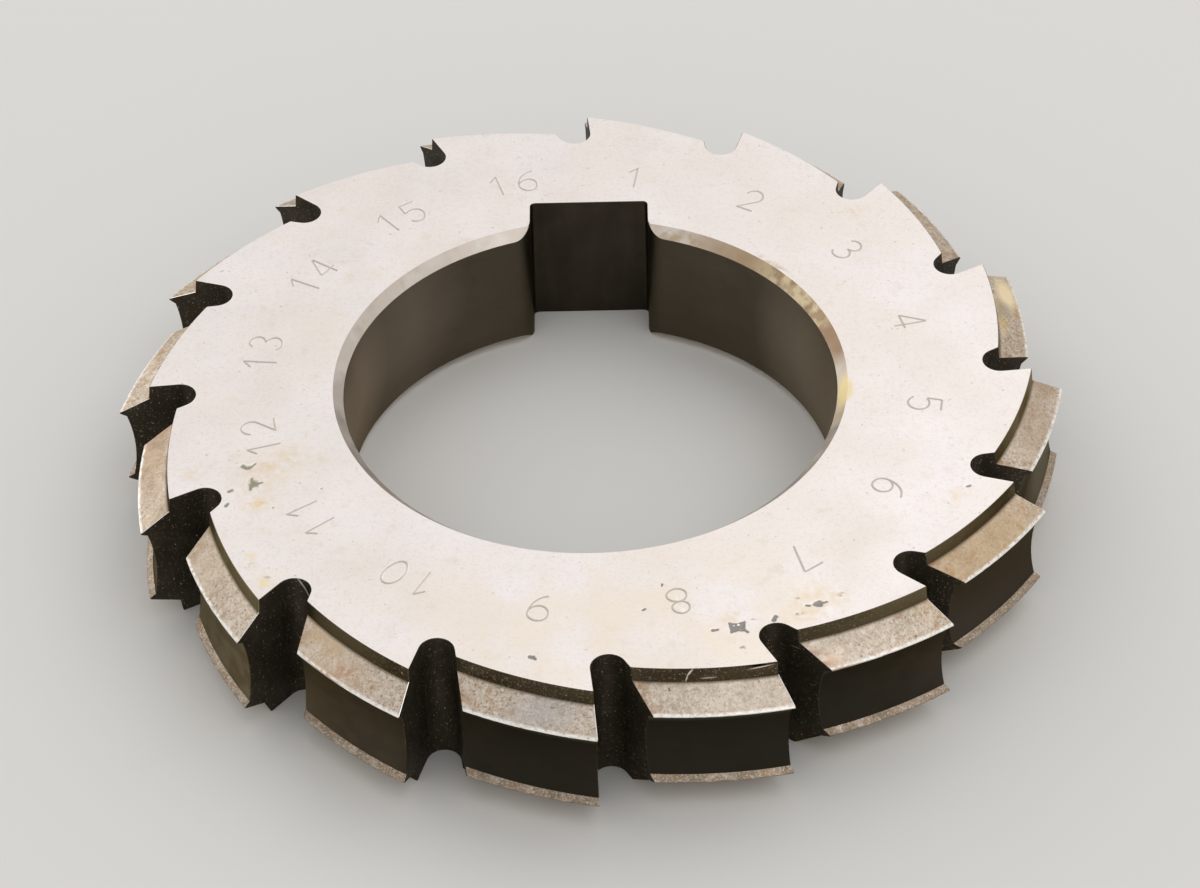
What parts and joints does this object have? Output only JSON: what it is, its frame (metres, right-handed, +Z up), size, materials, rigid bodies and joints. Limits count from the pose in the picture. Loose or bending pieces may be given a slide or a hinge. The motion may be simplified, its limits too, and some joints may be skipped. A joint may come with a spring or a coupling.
{
  "type": "spline milling cutter",
  "caption": "Thin form-relieved disc cutter with gashed teeth, a horned hollow profile for spline shafts, and a keyed bore for an arbor.",
  "frame": {"origin": "on the bore axis, in the plane of the lower side face", "axes": "+Z up along the bore axis, through the thickness; +Y from the bore axis to the middle of the keyway; the teeth cut anticlockwise seen from +Z"},
  "size_m": [0.0766, 0.0766, 0.012],
  "materials": {
    "tool_steel": "ground side faces, relieved teeth left grainy, dark gashes"
  },
  "bodies": {
    "root": {"spline_cutter": "tool_steel"}
  },
  "joints": []
}
